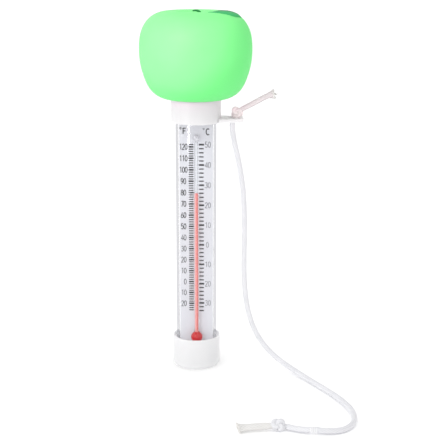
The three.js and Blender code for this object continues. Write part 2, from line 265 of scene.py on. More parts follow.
def braid(theta, s, strands=STRANDS, lay=LAY):
    """How far each point lies from the tops of the yarns, from 0 to 1, for angles theta and lengths s in millimetres."""
    u = theta / (2 * math.pi) * strands
    v = s / lay
    a, b = u + v, u - v
    i, j = np.floor(a), np.floor(b)
    za = np.cos(np.pi * (b - 0.5)) * np.where(np.mod(i, 2) < 0.5, 1, -1)
    zb = -np.cos(np.pi * (a - 0.5)) * np.where(np.mod(j, 2) < 0.5, 1, -1)
    pa = np.sqrt(np.clip(1 - (2 * (a - i - 0.5) / 1.04) ** 2, 0, 1))
    pb = np.sqrt(np.clip(1 - (2 * (b - j - 0.5) / 1.04) ** 2, 0, 1))
    h = np.maximum(0.42 * za + 0.95 * pa, 0.42 * zb + 0.95 * pb)
    return np.clip((1.37 - h) / 1.2, 0, 1)


def cord_mesh(path, along, radius, sides, depth=0.24, start_s=0.0, oval=None, first=None, strands=STRANDS, lay=LAY):
    """Points, faces and painted shade amounts (gaps between yarns, underside) of a braided tube. radius is a number or
    a function of the share of the length.
    """
    t, n, b = frames(path, first)
    rows = len(path)
    theta = np.linspace(0, 2 * math.pi, sides, endpoint=False)
    share = along / along[-1]
    r = np.array([radius(x) for x in share]) if callable(radius) else np.full(rows, float(radius))
    # the yarn depth also sets the painted shade in the gaps between yarns
    down = braid(theta[None, :], (along + start_s)[:, None], strands, lay)
    rr = r[:, None] - depth * down * (r[:, None] / 1.5)
    ox = np.array([oval(x) for x in share]) if oval else np.ones(rows)
    p = (
        path[:, None, :]
        + n[:, None, :] * (rr * np.cos(theta)[None, :])[..., None] * ox[:, None, None]
        + b[:, None, :] * (rr * np.sin(theta)[None, :])[..., None] / ox[:, None, None]
    )
    # painted shade: the underside is drawn greyer, where shade falls under the cord
    below = -(n[:, None, 2] * np.cos(theta)[None, :] + b[:, None, 2] * np.sin(theta)[None, :])
    down = down + 0.85 * np.clip((below - 0.5) / 0.4, 0, 1)
    return p.reshape(-1, 3), grid_faces(rows, sides), down.ravel(), (t, n, b)


CORD_D = 3.0
CORD_ROUTE = [
    [19.7, 0, 141.05], [19.85, -0.02, 134.09], [20.95, -0.02, 127.26], [22.5, 0, 120.47], [23.9, 0.03, 113.61],
    [25.0, 0.06, 106.7], [25.89, 0.08, 99.77], [26.32, 0.09, 92.82], [26.6, 0.07, 85.87], [26.71, 0.03, 78.91],
    [26.69, -0.06, 71.96], [26.61, -0.15, 65], [26.58, -0.2, 58.04], [26.74, -0.17, 51.08], [27.18, -0.01, 44.14],
    [28.01, 0.21, 37.24], [29.34, 0.33, 30.41], [31.34, 0.11, 23.75], [34.22, -0.72, 17.49], [38.09, -2.47, 12],
    [42.66, -5.49, 7.74], [47.35, -9.84, 5.05], [51.8, -14.95, 3.51], [55.95, -20.45, 2.58], [59.8, -26.22, 2],
    [63.4, -32.17, 1.71], [66.85, -38.21, 1.63], [70.19, -44.31, 1.69], [73.33, -50.52, 1.79], [76.19, -56.86, 1.87],
    [78.64, -63.38, 1.89], [80.47, -70.09, 1.87], [81.34, -76.98, 1.8], [80.86, -83.91, 1.72], [78.49, -90.41, 1.63],
    [73.65, -95.3, 1.64], [67.03, -97.28, 1.93], [60.09, -97.11, 2.33], [53.38, -95.33, 1.88], [47.07, -92.4, 1.84],
]

# ------------------------------------------------------------------ materials


def srgb(r, g, b):
    return tuple(((c / 255) / 12.92 if c / 255 <= 0.04045 else (((c / 255) + 0.055) / 1.055) ** 2.4) for c in (r, g, b))


class Nodes:
    """A small helper for building a node tree."""

    def __init__(self, name, kind="material"):
        if kind == "world":
            self.owner = bpy.data.worlds.new(name)
        else:
            self.owner = bpy.data.materials.new(name)
        self.owner.use_nodes = True
        self.tree = self.owner.node_tree
        self.tree.nodes.clear()

    def add(self, kind, **settings):
        n = self.tree.nodes.new(kind)
        for k, v in settings.items():
            setattr(n, k, v)
        return n

    def link(self, a, b):
        self.tree.links.new(a, b)

    def noise(self, coords, scale, detail=2.0, rough=0.5):
        n = self.add("ShaderNodeTexNoise")
        n.inputs["Scale"].default_value = scale
        n.inputs["Detail"].default_value = detail
        n.inputs["Roughness"].default_value = rough
        self.link(coords, n.inputs["Vector"])
        return n.outputs["Fac"]

    def ramp(self, fac, stops):
        n = self.add("ShaderNodeValToRGB")
        e = n.color_ramp.elements
        while len(e) < len(stops):
            e.new(0.5)
        for el, (pos, col) in zip(e, stops):
            el.position = pos
            el.color = (*col, 1) if len(col) == 3 else col
        self.link(fac, n.inputs["Fac"])
        return n.outputs["Color"]

    def grey(self, fac, lo, hi, a=0.3, b=0.7):
        n = self.add("ShaderNodeMapRange")
        n.inputs["From Min"].default_value = a
        n.inputs["From Max"].default_value = b
        n.inputs["To Min"].default_value = lo
        n.inputs["To Max"].default_value = hi
        self.link(fac, n.inputs["Value"])
        return n.outputs["Result"]

    def bump(self, height, strength, distance):
        n = self.add("ShaderNodeBump")
        n.inputs["Strength"].default_value = strength
        n.inputs["Distance"].default_value = distance
        self.link(height, n.inputs["Height"])
        return n.outputs["Normal"]


def set_input(node, **values):
    for k, v in values.items():
        sock = node.inputs[k.replace("_", " ")]
        sock.default_value = (*v, 1) if isinstance(v, tuple) and len(v) == 3 and sock.type == "RGBA" else v


def plastic(name, colour, colour2, rough=(0.35, 0.45), scale=60, bump=0.03, bump_scale=900, sss=0.0, sheen=0.0, spec=0.5, coat=0.0, sss_radius=(0.003, 0.003, 0.003), spill=None, ior=1.5, edge_shade=None, thin=0.0):
    """Moulded plastic or vinyl: soft colour drift, uneven gloss and a fine surface grain. spill is the colour it throws on its neighbours, thin the share of light its wall lets through."""
    m = Nodes(name)
    co = m.add("ShaderNodeTexCoord").outputs["Object"]
    p = m.add("ShaderNodeBsdfPrincipled")
    big = m.noise(co, scale, 3)
    base = m.ramp(big, [(0.3, colour), (0.7, colour2)])
    if edge_shade:  # painted shade: a darker tint where the mesh marks it
        tint = m.add("ShaderNodeMix", data_type="RGBA")
        m.link(m.add("ShaderNodeAttribute", attribute_name="edge_shade").outputs["Fac"], tint.inputs[0])
        m.link(base, tint.inputs[6])
        tint.inputs[7].default_value = (*edge_shade, 1)
        base = tint.outputs[2]
    m.link(base, p.inputs["Base Color"])
    m.link(m.grey(m.noise(co, scale * 4, 3), rough[0], rough[1]), p.inputs["Roughness"])
    m.link(m.bump(m.noise(co, bump_scale, 2), bump, 0.0002), p.inputs["Normal"])
    surface = p.outputs["BSDF"]
    if spill:
        flat = m.add("ShaderNodeBsdfDiffuse")
        flat.inputs["Color"].default_value = (*spill, 1)
        mix = m.add("ShaderNodeMixShader")
        m.link(m.add("ShaderNodeLightPath").outputs["Is Diffuse Ray"], mix.inputs["Fac"])
        m.link(surface, mix.inputs[1])
        m.link(flat.outputs["BSDF"], mix.inputs[2])
        surface = mix.outputs["Shader"]
    if thin:
        past = m.add("ShaderNodeBsdfTransparent")
        past.inputs["Color"].default_value = (1, 1, 1, 1)
        ray = m.add("ShaderNodeLightPath")
        either = m.add("ShaderNodeMath", operation="MAXIMUM")
        m.link(ray.outputs["Is Shadow Ray"], either.inputs[0])
        m.link(ray.outputs["Is Diffuse Ray"], either.inputs[1])
        mix = m.add("ShaderNodeMixShader")
        m.link(m.grey(either.outputs[0], 0.0, thin), mix.inputs["Fac"])
        m.link(surface, mix.inputs[1])
        m.link(past.outputs["BSDF"], mix.inputs[2])
        surface = mix.outputs["Shader"]
    p.inputs["Specular IOR Level"].default_value = spec
    p.inputs["IOR"].default_value = ior
    if sss:
        p.inputs["Subsurface Weight"].default_value = sss
        p.inputs["Subsurface Radius"].default_value = (1, 1, 1)
        p.inputs["Subsurface Scale"].default_value = sss_radius[0]
    if sheen:
        p.inputs["Sheen Weight"].default_value = sheen
        p.inputs["Sheen Roughness"].default_value = 0.5
    if coat:
        p.inputs["Coat Weight"].default_value = coat
        p.inputs["Coat Roughness"].default_value = 0.2
    out = m.add("ShaderNodeOutputMaterial")
    m.link(surface, out.inputs["Surface"])
    return m.owner


def clear(name, colour, ior, rough=0.02, edge=None, spec=0.5):
    """Clear plastic or glass that lets the lamps' light through."""
    m = Nodes(name)
    co = m.add("ShaderNodeTexCoord").outputs["Object"]
    p = m.add("ShaderNodeBsdfPrincipled")
    set_input(p, Base_Color=colour, IOR=ior)
    p.inputs["Transmission Weight"].default_value = 1.0
    p.inputs["Specular IOR Level"].default_value = spec

    m.link(m.grey(m.noise(co, 240, 2), rough * 0.9, rough * 1.1), p.inputs["Roughness"])
    m.link(m.bump(m.noise(co, 70, 1), 0.0015, 0.0002), p.inputs["Normal"])
    through = m.add("ShaderNodeBsdfTransparent")
    through.inputs["Color"].default_value = (*colour, 1)
    ray = m.add("ShaderNodeLightPath")
    either = m.add("ShaderNodeMath", operation="MAXIMUM")
    m.link(ray.outputs["Is Shadow Ray"], either.inputs[0])
    m.link(ray.outputs["Is Diffuse Ray"], either.inputs[1])
    mix = m.add("ShaderNodeMixShader")
    m.link(either.outputs[0], mix.inputs["Fac"])
    m.link(p.outputs["BSDF"], mix.inputs[1])
    m.link(through.outputs["BSDF"], mix.inputs[2])
    surface = mix.outputs["Shader"]
    if edge:  # a wall seen edge on is drawn as a grey line, painted shade for the darker reflections there; towards the tube's foot it fades to clear, a painted reflection of the cap's white
        line = m.add("ShaderNodeBsdfTransparent")
        split = m.add("ShaderNodeSeparateXYZ")
        m.link(co, split.inputs[0])
        low = m.grey(split.outputs["Z"], 0.0, 1.0, 0.0155, 0.0215)
        m.link(m.ramp(low, [(0.0, (1, 1, 1)), (1.0, edge)]), line.inputs["Color"])
        both = m.add("ShaderNodeMixShader")
        m.link(m.grey(m.add("ShaderNodeLayerWeight").outputs["Facing"], 0.0, 1.0, 0.49, 0.57), both.inputs["Fac"])
        m.link(surface, both.inputs[1])
        m.link(line.outputs["BSDF"], both.inputs[2])
        surface = both.outputs["Shader"]
    out = m.add("ShaderNodeOutputMaterial")
    m.link(surface, out.inputs["Surface"])
    return m.owner


def cord_material(name, top, shade_colour, fuzz=0.08):
    """Braided nylon: lighter yarn tops, painted shade in the gaps between yarns and on the underside, fibre grain and a
    soft sheen.
    """
    m = Nodes(name)
    co = m.add("ShaderNodeTexCoord").outputs["Object"]
    p = m.add("ShaderNodeBsdfPrincipled")
    deep = m.add("ShaderNodeAttribute", attribute_name="painted_yarn_shade").outputs["Fac"]
    drift = m.noise(co, 220, 3)
    mixed = m.add("ShaderNodeMath", operation="MULTIPLY_ADD")
    m.link(drift, mixed.inputs[0])
    mixed.inputs[1].default_value = 0.25
    m.link(deep, mixed.inputs[2])
    m.link(m.ramp(mixed.outputs[0], [(0.12, top), (0.5, tuple((a * 2 + b) / 3 for a, b in zip(top, shade_colour))), (1.0, shade_colour)]), p.inputs["Base Color"])
    m.link(m.grey(drift, 0.62, 0.8), p.inputs["Roughness"])
    m.link(m.bump(m.noise(co, 5200, 2), 0.35, 0.0001), p.inputs["Normal"])
    p.inputs["Sheen Weight"].default_value = fuzz
    p.inputs["Sheen Roughness"].default_value = 0.4
    p.inputs["Subsurface Weight"].default_value = 0.25
    p.inputs["Subsurface Radius"].default_value = (1, 1, 1)
    p.inputs["Subsurface Scale"].default_value = 0.001
    out = m.add("ShaderNodeOutputMaterial")
    m.link(p.outputs["BSDF"], out.inputs["Surface"])
    return m.owner


def thread_material():
    """Dyed spirit in a fine bore, with painted light: a pale painted highlight on its left, where the white back shines
    through, and painted shade as a deeper red strip along its right side.
    """
    m = Nodes("spirit_thread_red")
    co = m.add("ShaderNodeTexCoord").outputs["Object"]
    p = m.add("ShaderNodeBsdfPrincipled")
    split = m.add("ShaderNodeSeparateXYZ")
    m.link(co, split.inputs[0])
    painted_highlight_across = m.grey(split.outputs["X"], 0.0, 1.0, (0.15 - 0.75) * MM, (0.15 + 0.75) * MM)
    m.link(m.ramp(painted_highlight_across, [(0.0, srgb(236, 166, 162)), (0.45, srgb(242, 150, 144)), (0.64, srgb(212, 88, 82)), (0.9, srgb(232, 136, 132))]), p.inputs["Base Color"])
    m.link(m.grey(m.noise(co, 900, 2), 0.2, 0.3), p.inputs["Roughness"])
    out = m.add("ShaderNodeOutputMaterial")
    m.link(p.outputs["BSDF"], out.inputs["Surface"])
    return m.owner


GREEN = plastic("vinyl_soft_green", srgb(113, 236, 129), srgb(118, 239, 135), rough=(0.5, 0.58), scale=38, bump=0.06, bump_scale=2600, sss=0.2, spec=0.5, ior=1.3, sss_radius=(0.004, 0, 0), spill=(0.5, 0.47, 0.47))
# the darker third colour is painted shade along one edge of the leaf
LEAF = plastic("vinyl_leaf_green", srgb(42, 164, 86), srgb(52, 177, 96), rough=(0.5, 0.62), scale=120, bump=0.08, bump_scale=2600, ior=1.35, edge_shade=srgb(40, 118, 66))
STEM_GREEN = plastic("vinyl_stem_green", srgb(6, 116, 42), srgb(12, 132, 52), rough=(0.5, 0.65), scale=300, bump=0.1, bump_scale=2600, ior=1.3)
WHITE = plastic("moulded_white", srgb(223, 222, 223), srgb(227, 226, 227), rough=(0.34, 0.44), scale=50, bump=0.02, bump_scale=1500, sss=0.6, sss_radius=(0.003, 0, 0))
CAP_WHITE = plastic("moulded_white_cap", srgb(222, 222, 223), srgb(226, 226, 227), rough=(0.34, 0.44), scale=50, bump=0.02, bump_scale=1500, sss=0.6, sss_radius=(0.003, 0, 0), thin=0.86)
PLATE = plastic("scale_sheet_white", srgb(216, 217, 221), srgb(220, 221, 225), rough=(0.5, 0.6), scale=40, bump=0.02, bump_scale=2000)
INK_F = plastic("ink_dark", srgb(16, 16, 20), srgb(24, 24, 28), rough=(0.5, 0.6), scale=900, bump=0.02)
INK_C = plastic("ink_grey", srgb(84, 84, 92), srgb(96, 96, 104), rough=(0.5, 0.6), scale=900, bump=0.02)
RED = plastic("spirit_red", srgb(198, 4, 14), srgb(208, 8, 20), rough=(0.2, 0.3), scale=120, bump=0.0, sss=0.1, spec=0.1)
THREAD = thread_material()
WALL = (0.985, 0.985, 0.995)
TUBE = clear("clear_tube_plastic", WALL, 1.38, 0.05, edge=(0.8, 0.8, 0.815), spec=0.3)
TUBE_IN = clear("clear_tube_bore", WALL, 1.38, 0.05, spec=0.3)
GLASS = clear("stem_glass", (0.99, 0.995, 0.995), 1.25, 0.01, spec=0.3)
DAB = plastic("silicone_milky", srgb(206, 206, 210), srgb(214, 214, 217), rough=(0.25, 0.35), scale=200, bump=0.05, bump_scale=600, sss=0.4, sss_radius=(0.002, 0, 0))
FOAM = plastic("foam_pad", srgb(222, 219, 214), srgb(234, 231, 226), rough=(0.85, 0.95), scale=500, bump=0.4, bump_scale=1400)
RUBBER = plastic("black_rubber_seal", srgb(32, 32, 34), srgb(42, 42, 44), rough=(0.6, 0.75), scale=200, bump=0.1, bump_scale=1200)
# the second colour of each cord material is the painted shade for yarn gaps and undersides
CORD = cord_material("cord_braided_white", srgb(240, 240, 242), srgb(170, 171, 180))
# a warmer grey copy of the cord for the lower tail
CORD_WARM = cord_material("cord_end_warm_grey", srgb(238, 237, 235), srgb(184, 182, 179))
# a pinkish, darker copy of the cord: painted shade on the upper tail
CORD_TAIL_SHADED = cord_material("cord_tail_painted_shade", srgb(234, 227, 228), srgb(188, 177, 179))
# a pinkish, lighter copy of the cord: painted light on the upper knot, which sits in the ball's shadow
CORD_KNOT_LIT = cord_material("cord_knot_painted_light", srgb(248, 239, 239), srgb(212, 200, 200))
CORD_END = cord_material("cord_melted_end", srgb(226, 224, 221), srgb(200, 198, 195))


def steel():
    m = Nodes("turned_steel")
    co = m.add("ShaderNodeTexCoord").outputs["Object"]
    p = m.add("ShaderNodeBsdfPrincipled")
    p.inputs["Metallic"].default_value = 1.0
    fac = m.noise(co, 900, 3)
    m.link(m.ramp(fac, [(0.3, srgb(150, 152, 155)), (0.7, srgb(176, 178, 180))]), p.inputs["Base Color"])
    m.link(m.grey(fac, 0.28, 0.42), p.inputs["Roughness"])
    out = m.add("ShaderNodeOutputMaterial")
    m.link(p.outputs["BSDF"], out.inputs["Surface"])
    return m.owner


STEEL = steel()


def paint(node, material):
    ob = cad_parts[node]
    ob.data.materials.clear()
    ob.data.materials.append(material)


def place(ob, replaces=(), body=BODY):
    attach(ob, body)
    if replaces:
        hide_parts(*replaces)
    return ob


# ------------------------------------------------------------------ cord, knots, tails, whipping
KNOT_STEP = 0.22
STOPPER_C = np.array([22.2, -0.3, 144.05])
END_C = np.array([42.5, -93.3, 3.4])


def make_cord():
    path, along = spline(CORD_ROUTE, 0.25)
    v, f, d, _ = cord_mesh(path, along, CORD_D / 2 + 0.02, 56)
    ob = mesh_object("cord_braid", v, f, CORD, recalc=False, attribute=("painted_yarn_shade", d))
    return ob, spline(CORD_ROUTE, 2.0)[0]


def overhand(centre, enter, leave, ring_axis, ring_zero, big, small, cord_r, name, start_s=0.0, squash=(1, 1, 1), material=None):
    """A pulled-up overhand knot: the cord comes in along enter, runs a trefoil round ring_axis and goes out along leave."""
    w = Vector(ring_axis).normalized()
    u = (Vector(ring_zero) - w * Vector(ring_zero).dot(w)).normalized()
    v = w.cross(u)
    pts = []
    lo, hi = 0.13, 2 * math.pi - 0.13
    for k in range(37):
        t = lo + (hi - lo) * k / 36
        rho = big + small * math.cos(3 * t)
        p = u * (rho * math.cos(2 * t) * squash[0]) + v * (rho * math.sin(2 * t) * squash[1]) + w * (small * 0.95 * math.sin(3 * t) * squash[2])
        pts.append(np.array(centre) + np.array(p))
    path, along = spline([*[np.array(q, float) for q in enter], *pts, *[np.array(q, float) for q in leave]], KNOT_STEP)
    verts, faces, d, _ = cord_mesh(path, along, cord_r, 40, start_s=start_s, lay=LAY * 0.85)
    return mesh_object(name, verts, faces, material or CORD, recalc=False, attribute=("painted_yarn_shade", d))


cord, cord_path = make_cord()

# ------------------------------------------------------------------ stage and light


def make_stage():
    me = bpy.data.meshes.new("floor")
    s = 14.0
    me.from_pydata([(-s, -s, 0), (s, -s, 0), (s, s, 0), (-s, s, 0)], [], [(0, 1, 2, 3)])
    floor = bpy.data.objects.new("floor", me)
    collection.objects.link(floor)
    m = Nodes("floor_white")
    p = m.add("ShaderNodeBsdfPrincipled")
    set_input(p, Base_Color=(0.82, 0.82, 0.82))
    p.inputs["Roughness"].default_value = 0.9
    p.inputs["Specular IOR Level"].default_value = 0.1
    set_input(p, Emission_Color=(1.0, 1.0, 1.0))
    p.inputs["Emission Strength"].default_value = 0.3
    out = m.add("ShaderNodeOutputMaterial")
    m.link(p.outputs["BSDF"], out.inputs["Surface"])
    me.materials.append(m.owner)

    w = Nodes("studio", "world")
    bg = w.add("ShaderNodeBackground")
    bg.inputs["Color"].default_value = (1.0, 1.0, 1.0, 1)
    bg.inputs["Strength"].default_value = 0.95
    out = w.add("ShaderNodeOutputWorld")
    w.link(bg.outputs["Background"], out.inputs["Surface"])
    scene.world = w.owner


def area(name, at, to, size, size_y, watts, colour=(1, 1, 1)):
    data = bpy.data.lights.new(name, "AREA")
    data.shape = "RECTANGLE"
    data.size, data.size_y = size, size_y
    data.energy = watts
    data.color = colour
    ob = bpy.data.objects.new(name, data)
    ob.location = at
    ob.rotation_mode = "QUATERNION"
    ob.rotation_quaternion = (Vector(to) - Vector(at)).to_track_quat("-Z", "Y")
    collection.objects.link(ob)


def snoot(name, at, to, radius, watts, spread, colour, blend):
    """A lamp in a tube that lights a round patch of the given radius."""
    data = bpy.data.lights.new(name, "SPOT")
    data.energy = watts
    data.color = colour
    data.shadow_soft_size = radius
    data.spot_size = 2 * math.atan(spread / (Vector(to) - Vector(at)).length)
    data.spot_blend = blend
    ob = bpy.data.objects.new(name, data)
    ob.location = at
    ob.rotation_mode = "QUATERNION"
    ob.rotation_quaternion = (Vector(to) - Vector(at)).to_track_quat("-Z", "Y")
    collection.objects.link(ob)


make_stage()
area("key", (-0.71, -0.745, 0.86), (0, 0, 0.14), 0.62, 0.62, 2.6)
area("strip", (-0.328, -0.377, 0.0585), (0, 0, 0.0585), 0.09, 0.028, 0.22)
snoot("float_light", (-0.5, -1.0, 0.60), (0, 0, 0.1805), 0.003, 64.0, 0.0365, (1.0, 0.38, 0.72), 0.5)
snoot("lug_light", (0.45, -0.6, 0.3), (0.0225, 0, 0.1445), 0.003, 2.8, 0.012, (1.0, 0.82, 0.82), 0.6)
scene.view_settings.view_transform = "Standard"

# ------------------------------------------------------------------ float, leaf and stem
FLOAT_OUTLINE = [
    [8.4, 151.6], [9.4, 151.33], [12.29, 151.01], [15.26, 151.16], [18.19, 151.83], [20.92, 153.08], [23.29, 154.89],
    [25.16, 157.19], [26.55, 159.81], [27.62, 162.56], [28.54, 165.34], [29.31, 168.17], [29.87, 171.06],
    [30.18, 174.0], [30.29, 176.98], [30.26, 180.02], [30.03, 183.11], [29.45, 186.2], [28.39, 189.17],
    [26.81, 191.91], [24.69, 194.26], [22.09, 196.09], [19.1, 197.28], [15.93, 197.84], [12.76, 197.87],
    [9.71, 197.43], [6.86, 196.61], [4.29, 195.57], [2.03, 194.66], [0, 194.27],
]
FLOAT_WALL = 1.7


def make_float():
    outer, _ = spline(FLOAT_OUTLINE, 1.0)
    # even out the traced outline a little
    for _ in range(6):
        outer[1:-1] = outer[1:-1] * 0.5 + (outer[:-2] + outer[2:]) * 0.25
    outer[:, 0] = np.clip(outer[:, 0], 0, None)
    outer[-1, 0] = 0
    tangent = np.gradient(outer, axis=0)
    tangent /= np.linalg.norm(tangent, axis=1)[:, None]
    inner = outer + np.stack([-tangent[:, 1], tangent[:, 0]], 1) * FLOAT_WALL
    inner[:, 0] = np.clip(inner[:, 0], 0, None)
    inner[-1, 0] = 0
    ok = [tuple(p) for p in inner[::2]]
    if ok[-1][0] > 0:
        ok.append(tuple(inner[-1]))
    profile = [tuple(p) for p in outer]
    # from the axis inside, down the inner wall, round the neck hole, up the outside to the dimple
    loop = list(reversed(ok)) + profile
    loop[0] = (0.0, loop[0][1])
    v, f = lathe(loop, 128)
    ob = mesh_object("float_vinyl", v, f, GREEN)
    return place(ob, ["float_shell"]), outer


float_ob, float_outer = make_float()
_top = float_outer[float_outer[:, 1] > 192]
_top = _top[_top[:, 0] < 27][::-1]


def top_height(r):
    return float(np.interp(r, _top[:, 0], _top[:, 1]))


LEAF_PATH = [[6.8, -14.2], [9.6, -13.2], [12.8, -10.8], [16.2, -8.0], [20.0, -5.6], [24.0, -3.4]]
LEAF_HALF = 4.6


def make_leaf():
    nu, nv = 64, 24
    path, _ = spline([[x, y, 0] for x, y in LEAF_PATH], 0.1)
    pick = np.linspace(0, len(path) - 1, nu + 1)
    at = np.stack([np.interp(pick, np.arange(len(path)), path[:, k]) for k in range(2)], 1)
    tan = np.gradient(at, axis=0)
    tan /= np.linalg.norm(tan, axis=1)[:, None]
    verts, edge_shade = [], []
    for layer in range(2):
        for i in range(nu + 1):
            u = i / nu
            half = max(0.12, LEAF_HALF * math.sin(math.pi * (0.02 + 0.96 * u) ** 1.35) ** 1.15)
            for j in range(nv + 1):
                v = 2 * j / nv - 1
                x = at[i, 0] - tan[i, 1] * half * v
                y = at[i, 1] + tan[i, 0] * half * v
                r = math.hypot(x, y)
                slope = (top_height(r + 0.2) - top_height(max(0, r - 0.2))) / 0.4
                n = 1 / math.hypot(1, slope)
                lift = -0.05
                if layer:
                    crown = 0.66 * (1 - abs(v) ** 3.2) ** 0.6 * min(1, 0.15 + 1.9 * u, 8 * (1 - u) + 0.3)
                    rib = 0.16 * math.exp(-((v / 0.07) ** 2)) * min(1, 6 * (1 - u))
                    side = 0.07 * max(0.0, math.cos(2 * math.pi * (u * 6.0 - abs(v) * 1.1))) ** 6 * (1 - abs(v)) ** 0.5 * min(1, abs(v) * 6)
                    lift = 0.12 + crown - rib - side
                verts.append((x - slope * n * lift * x / r, y - slope * n * lift * y / r, top_height(r) + n * lift))
                # painted shade along one long edge of the leaf, fading in from its first end
                edge_shade.append(min(1.0, max(0.0, (v + 0.3) / 0.55)) * min(1.0, 2.6 * u))
    cols = nv + 1
    base = (nu + 1) * cols

    def vid(layer, i, j):
        return layer * base + i * cols + j

    faces = []
    for i in range(nu):
        for j in range(nv):
            faces.append((vid(1, i, j), vid(1, i + 1, j), vid(1, i + 1, j + 1), vid(1, i, j + 1)))
            faces.append((vid(0, i, j), vid(0, i, j + 1), vid(0, i + 1, j + 1), vid(0, i + 1, j)))
        faces.append((vid(0, i, 0), vid(0, i + 1, 0), vid(1, i + 1, 0), vid(1, i, 0)))
        faces.append((vid(0, i, nv), vid(1, i, nv), vid(1, i + 1, nv), vid(0, i + 1, nv)))
    for j in range(nv):
        faces.append((vid(0, 0, j), vid(1, 0, j), vid(1, 0, j + 1), vid(0, 0, j + 1)))
        faces.append((vid(0, nu, j), vid(0, nu, j + 1), vid(1, nu, j + 1), vid(1, nu, j)))
    return place(mesh_object("leaf_vinyl", verts, faces, LEAF, sharp=60, attribute=("edge_shade", edge_shade)), ["float_leaf"])


make_leaf()

STEM_PATH = [[2.9, 0, 194.9], [2.75, 0, 196.0], [2.2, 0, 197.05], [1.2, 0, 197.75], [-0.1, 0, 198.0], [-1.7, 0, 197.75]]


def make_stem():
    path, along = spline(STEM_PATH, 0.12)
    t, n, b = frames(path)
    sides = 24
    theta = np.linspace(0, 2 * math.pi, sides, endpoint=False)
    share = along / along[-1]
    r = 0.74 - 0.46 * share**2
    end = np.clip((share - 0.93) / 0.07, 0, 1)
    r = r * np.sqrt(np.clip(1 - end**2 * 0.75, 0.05, 1))
    rr = r[:, None] * (1 + 0.05 * np.cos(5 * theta)[None, :])
    p = path[:, None, :] + n[:, None, :] * (rr * np.cos(theta))[..., None] + b[:, None, :] * (rr * np.sin(theta))[..., None]
    ob = mesh_object("stem_hook", p.reshape(-1, 3), grid_faces(len(path), sides), STEM_GREEN, sharp=50)
    return place(ob, ["float_stem"])


make_stem()

# ------------------------------------------------------------------ white mouldings
CAP_R, CAP_H, CAP_RIM_R, CAP_RIM_Z = 13.1, 17.7, 12.13, 14.6
TUBE_R, TUBE_BORE, TUBE_Z0, TUBE_Z1 = 11.05, 9.85, 10.4, 146.2
COLLAR_R, COLLAR_Z0, COLLAR_Z1, COLLAR_WEB = 13.6, 138.65, 150.5, 147.4
LUG_REACH, LUG_Z0, LUG_HALF, LUG_T, LUG_CORNER, LUG_HOLE_X, LUG_HOLE_R = 25.7, 139.1, 6.2, 1.95, 2.6, 20.0, 2.0


def make_cap():
    profile = fillet([
        (0, 0, 0), (CAP_R, 0, 2.6), (CAP_R, CAP_H, 0.35), (CAP_RIM_R, CAP_H, 0.3), (CAP_RIM_R, CAP_RIM_Z + 1.9, 0.3),
        (TUBE_R + 0.06, CAP_RIM_Z + 1.9, 0.15), (TUBE_R + 0.06, 1.8, 0), (0, 1.8, 0),
    ], 8)
    v, f = lathe(densify(profile), 160)
    return place(mesh_object("cap_moulding", v, f, CAP_WHITE, sharp=50), ["bottom_cap"])


def boolean(ob, other, operation):
    m = ob.modifiers.new("b", "BOOLEAN")
    m.operation = operation
    m.solver = "EXACT"
    m.object = other
    dg = bpy.context.evaluated_depsgraph_get()
    me = bpy.data.meshes.new_from_object(ob.evaluated_get(dg))
    ob.modifiers.clear()
    ob.data = me
    bpy.data.objects.remove(other)
    return ob


def prism(name, outline, z0, z1, edge, material):
    """A flat plate in plan with rounded top and bottom edges."""
    n = len(outline)
    o = np.asarray(outline, float)
    prev, nxt = np.roll(o, 1, 0), np.roll(o, -1, 0)
    e1, e2 = o - prev, nxt - o
    n1 = np.stack([e1[:, 1], -e1[:, 0]], 1) / np.linalg.norm(e1, axis=1)[:, None]
    n2 = np.stack([e2[:, 1], -e2[:, 0]], 1) / np.linalg.norm(e2, axis=1)[:, None]
    out = n1 + n2
    out /= np.linalg.norm(out, axis=1)[:, None]
    rows = []
    k = 5
    for i in range(k + 1):
        t = math.pi / 2 * i / k
        rows.append((edge * (1 - math.sin(t)), z0 + edge * (1 - math.cos(t))))
    for i in range(k + 1):
        t = math.pi / 2 * (1 - i / k)
        rows.append((edge * (1 - math.sin(t)), z1 - edge * (1 - math.cos(t))))
    verts = []
    for inset_, z in rows:
        for p, q in zip(o, out):
            verts.append((p[0] - q[0] * inset_, p[1] - q[1] * inset_, z))
    return mesh_object(name, verts, grid_faces(len(rows), n), material)


